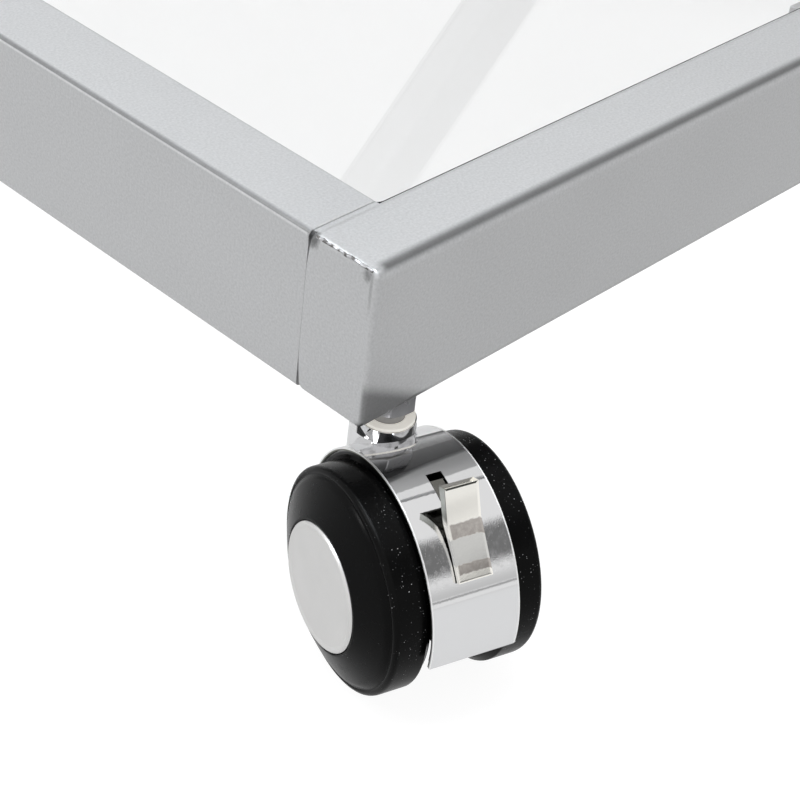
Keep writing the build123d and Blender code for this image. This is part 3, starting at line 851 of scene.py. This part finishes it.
beads = settle(join([weld_bead(*corner, seed) for seed, corner in enumerate(CORNERS)]), BEAD_SMOOTH)
dress(beads, "weld_beads", "frame", bead_metal(), "frame_paint")
print("weld beads:", len(CORNERS), "faces:", len(beads.data.polygons))

# %% [markdown]
# ## Wheels and hub caps
# Both are round all over, so they are turned as on a lathe: a ring is extruded, moved and scaled
# along the profile, and the sharp rings are then bevelled. One wheel and one cap are made and copied.
# A wheel's tyre meets its side in a fine seam, so the points at that distance from the axle are moved
# in. On the inner face, which the hood hides, the same move leaves a low lip.

# %% Turn a profile
RING = 128
POLE = 0.01
SHARP_RING = math.radians(25)


def turn(profile, round_mm):
    """Turn (radius, height) points in millimetres about Z and round the edges."""
    radius, height = profile[0]
    let_go()
    bpy.ops.mesh.primitive_circle_add(vertices=RING, radius=radius * MM, location=(0, 0, height * MM))
    piece = bpy.context.object
    bpy.ops.object.transform_apply(location=True, rotation=True, scale=True)
    bpy.ops.object.mode_set(mode="EDIT")
    bpy.ops.mesh.select_mode(type="EDGE")
    bpy.ops.mesh.select_all(action="SELECT")
    for next_radius, next_height in profile[1:]:
        step = (0, 0, (next_height - height) * MM)
        bpy.ops.mesh.extrude_region_move(TRANSFORM_OT_translate={"value": step})
        growth = next_radius / radius
        bpy.ops.transform.resize(value=(growth, growth, 1), center_override=(0, 0, next_height * MM))
        radius, height = next_radius, next_height
    bpy.ops.mesh.select_all(action="SELECT")
    bpy.ops.mesh.remove_doubles(threshold=POLE * MM)
    bpy.ops.mesh.normals_make_consistent(inside=False)
    bpy.ops.object.mode_set(mode="OBJECT")
    bpy.ops.object.modifier_add(type="BEVEL")
    bevel = piece.modifiers[-1]
    bevel.width = round_mm * MM
    bevel.segments = 3
    bevel.limit_method = "ANGLE"
    bevel.angle_limit = SHARP_RING
    bpy.ops.object.modifier_apply(modifier=bevel.name)
    return settle(piece)


print("points in each ring:", RING)

# %% The wheel's and the cap's profiles
INNER_FACE = 9.4
WEB_FACE = 18.3
SEAT_FACE = 22.0
BORE = 3.05
HUB = 6.5
RIM_INSIDE = 22.0
TYRE = 26.4
CAP_SEAT = 15.3
CAP = 15.2
HEAD_SEAT = 5.2
HEAD_FACE = 20.4
SEAM_WIDE = 0.2
WHEEL_EDGE = 0.35
CAP_EDGE = 0.12
WHEEL_PROFILE = [
    (BORE, INNER_FACE), (HUB, INNER_FACE), (HUB, WEB_FACE), (RIM_INSIDE, WEB_FACE),
    (RIM_INSIDE, INNER_FACE), (25.0, INNER_FACE), (TYRE, 10.8), (TYRE, 17.3), (26.33, 17.75),
    (26.17, 18.1), (25.9, 18.38), (25.5, 18.58), (TYRE_SEAM + SEAM_WIDE, 18.7), (TYRE_SEAM, 18.78),
    (TYRE_SEAM - SEAM_WIDE, 18.86), (23.0, 19.8), (19.6, 21.4), (15.75, 23.1), (15.35, 23.0),
    (CAP_SEAT, SEAT_FACE), (HEAD_SEAT, SEAT_FACE), (HEAD_SEAT, HEAD_FACE), (BORE, HEAD_FACE),
    (BORE, INNER_FACE)]
CAP_PROFILE = [
    (POLE / 3, SEAT_FACE), (CAP, SEAT_FACE), (CAP, 23.1), (14.75, 23.6), (14.2, 23.6), (13.6, 23.3),
    (POLE / 3, 23.38)]
wheel = turn(WHEEL_PROFILE, WHEEL_EDGE)
cap = turn(CAP_PROFILE, CAP_EDGE)
print("turned: wheel", len(wheel.data.polygons), "faces, cap", len(cap.data.polygons), "faces")

# %% Mark how far each point is from the axle, and press the tyre's seam
SEAM_DEEP = 0.35 * MM
SEAM_NEAR = 0.05
moved = 0
reach = wheel.data.attributes.new("reach", "FLOAT", "POINT")
for vertex in wheel.data.vertices:
    reach.data[vertex.index].value = math.hypot(vertex.co.x, vertex.co.y) / MM
    if abs(reach.data[vertex.index].value - TYRE_SEAM) < SEAM_NEAR:
        vertex.co.z -= SEAM_DEEP
        moved += 1
print("seam at", TYRE_SEAM, "mm, points moved:", moved)

# %% Copy the wheels and caps to the casters
def copy_of(piece, place):
    """Copy a piece with its own mesh, moved to another place."""
    twin = piece.copy()
    twin.data = piece.data.copy()
    twin.data.transform(place)
    bpy.context.scene.collection.objects.link(twin)
    return twin


for caster in CASTERS:
    for hand, way in (("a", 1), ("b", -1)):
        roll = joints[f"{caster}_roll_{hand}"]
        outward = way * Vector(roll["axis"])
        place = Matrix.Translation(roll["pos_m"]) @ outward.to_track_quat("Z", "Y").to_matrix().to_4x4()
        body = body_of[f"{caster}_wheel_{hand}"]
        for model, kind, slot in ((wheel, "wheel", "wheel_plastic"), (cap, "hub_cap", "cap_satin")):
            node = f"{caster}_{kind}_{hand}"
            dress(copy_of(model, place), f"{node}_turned", body, FINISHES[slot], slot, node)
for model in (wheel, cap):
    bpy.data.objects.remove(model)
print("wheels and caps turned for", len(CASTERS), "casters")

# %% [markdown]
# ## Studio
# A pale floor, a white surround and large soft lamps. The surround is white to the lens, the glass
# and the metal, and plainer as a source of light, so that colours come out as they are written.

# %% Floor
FLOOR_WIDE = 12
SEEN_BY_LENS = 0.93
SEEN_IN_MIRRORS = 0.69
SEEN_THROUGH_GLASS = 0.84
SEEN_RAYS = ("Is Camera Ray", "Is Glossy Ray", "Is Transmission Ray", "Glossy Depth")


def seen_rays(board):
    """1 for the rays that show a surface, by kind, and 0 for those that only carry light."""
    light_path = board.node("ShaderNodeLightPath").socket.node
    camera_ray, glossy_ray, glass_ray, bounces = [
        Signal(board, light_path.outputs[name]) for name in SEEN_RAYS]
    mirrored = board.sum("MINIMUM", bounces, 1)
    return camera_ray, glossy_ray * mirrored, glass_ray * (1 - mirrored)


def floor_finish():
    """Glow white to the rays that show the floor, and stay a plain grey to the rest."""
    material = bpy.data.materials.new("studio_floor")
    material.use_nodes = True
    tree = material.node_tree
    tree.nodes.clear()
    board = Board(tree)
    camera_ray, mirror_ray, glass_ray = seen_rays(board)
    shown = camera_ray * SEEN_BY_LENS + mirror_ray * SEEN_IN_MIRRORS + glass_ray * SEEN_THROUGH_GLASS
    matt = board.node("ShaderNodeBsdfDiffuse", inputs={"Color": (0.15, 0.15, 0.15, 1)})
    glow = board.node("ShaderNodeEmission", inputs={"Color": (1, 1, 1, 1), "Strength": shown})
    both = board.node("ShaderNodeAddShader", inputs={0: matt, 1: glow})
    board.node("ShaderNodeOutputMaterial", inputs={"Surface": both})
    return material


let_go()
bpy.ops.mesh.primitive_plane_add(size=FLOOR_WIDE)
floor = bpy.context.object
floor.name = "studio_floor"
floor.data.materials.append(floor_finish())
print("floor at", floor.location[2])

# %% Surround
AMBIENT = 0.65
GLOSS = 0.95
DARK_SIDE = -60
DARK_BACK = 45


def layer(height, *degrees):
    """Where a direction lies between angles above the horizon: start, full, still and end."""
    return height.band(*[math.sin(math.radians(angle)) for angle in degrees])


def mirrored_room(board):
    """What polished metal sees: white all round, but for the darker side of the room."""
    x, y, z = board.split(board.node("ShaderNodeTexCoord", output="Generated"))
    bearing = board.sum("ARCTAN2", y, x) * math.degrees(1)
    dark = layer(z, 21, 26, 48, 53)
    grey = layer(z, 5, 6, 6, 20)
    line = layer(z, 2.8, 3.4, 4.6, 5.2)
    behind = layer(z, 7.5, 9.5, 21, 26)
    shade = abs(bearing - DARK_SIDE).fade(36, 22) * (dark * 0.74 + grey * 0.28 + line * 0.5)
    return GLOSS - shade - abs(bearing - DARK_BACK).fade(45, 30) * behind * 0.92


def surround():
    """Light the scene evenly, and show white or the mirrored room to the rays that see it."""
    world = bpy.data.worlds.new("studio")
    world.use_nodes = True
    board = Board(world.node_tree)
    camera_ray, mirror_ray, glass_ray = seen_rays(board)
    white = (camera_ray + glass_ray) * (1 - AMBIENT)
    back = world.node_tree.nodes["Background"]
    back.inputs["Color"].default_value = (1, 1, 1, 1)
    board.plug(back.inputs["Strength"], AMBIENT + white + mirror_ray * (mirrored_room(board) - AMBIENT))
    return world


bpy.context.scene.world = surround()
bpy.context.scene.view_settings.view_transform = "Standard"
print("surround:", bpy.context.scene.world.name)

# %% Lamps
def softbox(name, place, target, size, power, tint=(1, 1, 1)):
    """Hang a square lamp that faces a target."""
    lamp = bpy.data.lights.new(name, "AREA")
    lamp.color = tint
    lamp.size = size
    lamp.energy = power
    box = bpy.data.objects.new(name, lamp)
    box.location = place
    box.rotation_euler = (Vector(target) - Vector(place)).to_track_quat("-Z", "Y").to_euler()
    bpy.context.scene.collection.objects.link(box)


softbox("top_box", place=(-0.6, 0.2, 2.6), target=(-0.3, -0.1, 0.1), size=1.6, power=74,
        tint=(0.9, 0.95, 1.0))
softbox("left_box", place=(-1.8, 0.95, 1.5), target=(-0.38, -0.15, 0.1), size=0.5, power=8)
print("lamps:", [lamp.name for lamp in bpy.data.lights])

# %% [markdown]
# ## Camera
# The camera looks down on the front left corner from close by, a little rolled. Its place, its turn and
# its lens were worked out from the edges of the tube and the rail, whose lengths are known.

# %% Camera
LENS_MM = 92.745
SENSOR_MM = 36
CAMERA_PLACE = Vector((-639.69, -413.23, 335.78)) * MM
CAMERA_RIGHT = Vector((0.68956, -0.71705, 0.10145))
CAMERA_UP = Vector((0.38123, 0.47853, 0.79101))
lens = bpy.data.cameras.new("camera")
lens.lens = LENS_MM
lens.sensor_width = SENSOR_MM
lens.clip_start = 0.01
camera = bpy.data.objects.new("camera", lens)
turned = Matrix((CAMERA_RIGHT, CAMERA_UP, CAMERA_RIGHT.cross(CAMERA_UP))).transposed()
camera.matrix_world = Matrix.Translation(CAMERA_PLACE) @ turned.to_4x4()
bpy.context.scene.collection.objects.link(camera)
bpy.context.scene.camera = camera
print("camera at", [round(x, 3) for x in camera.location])
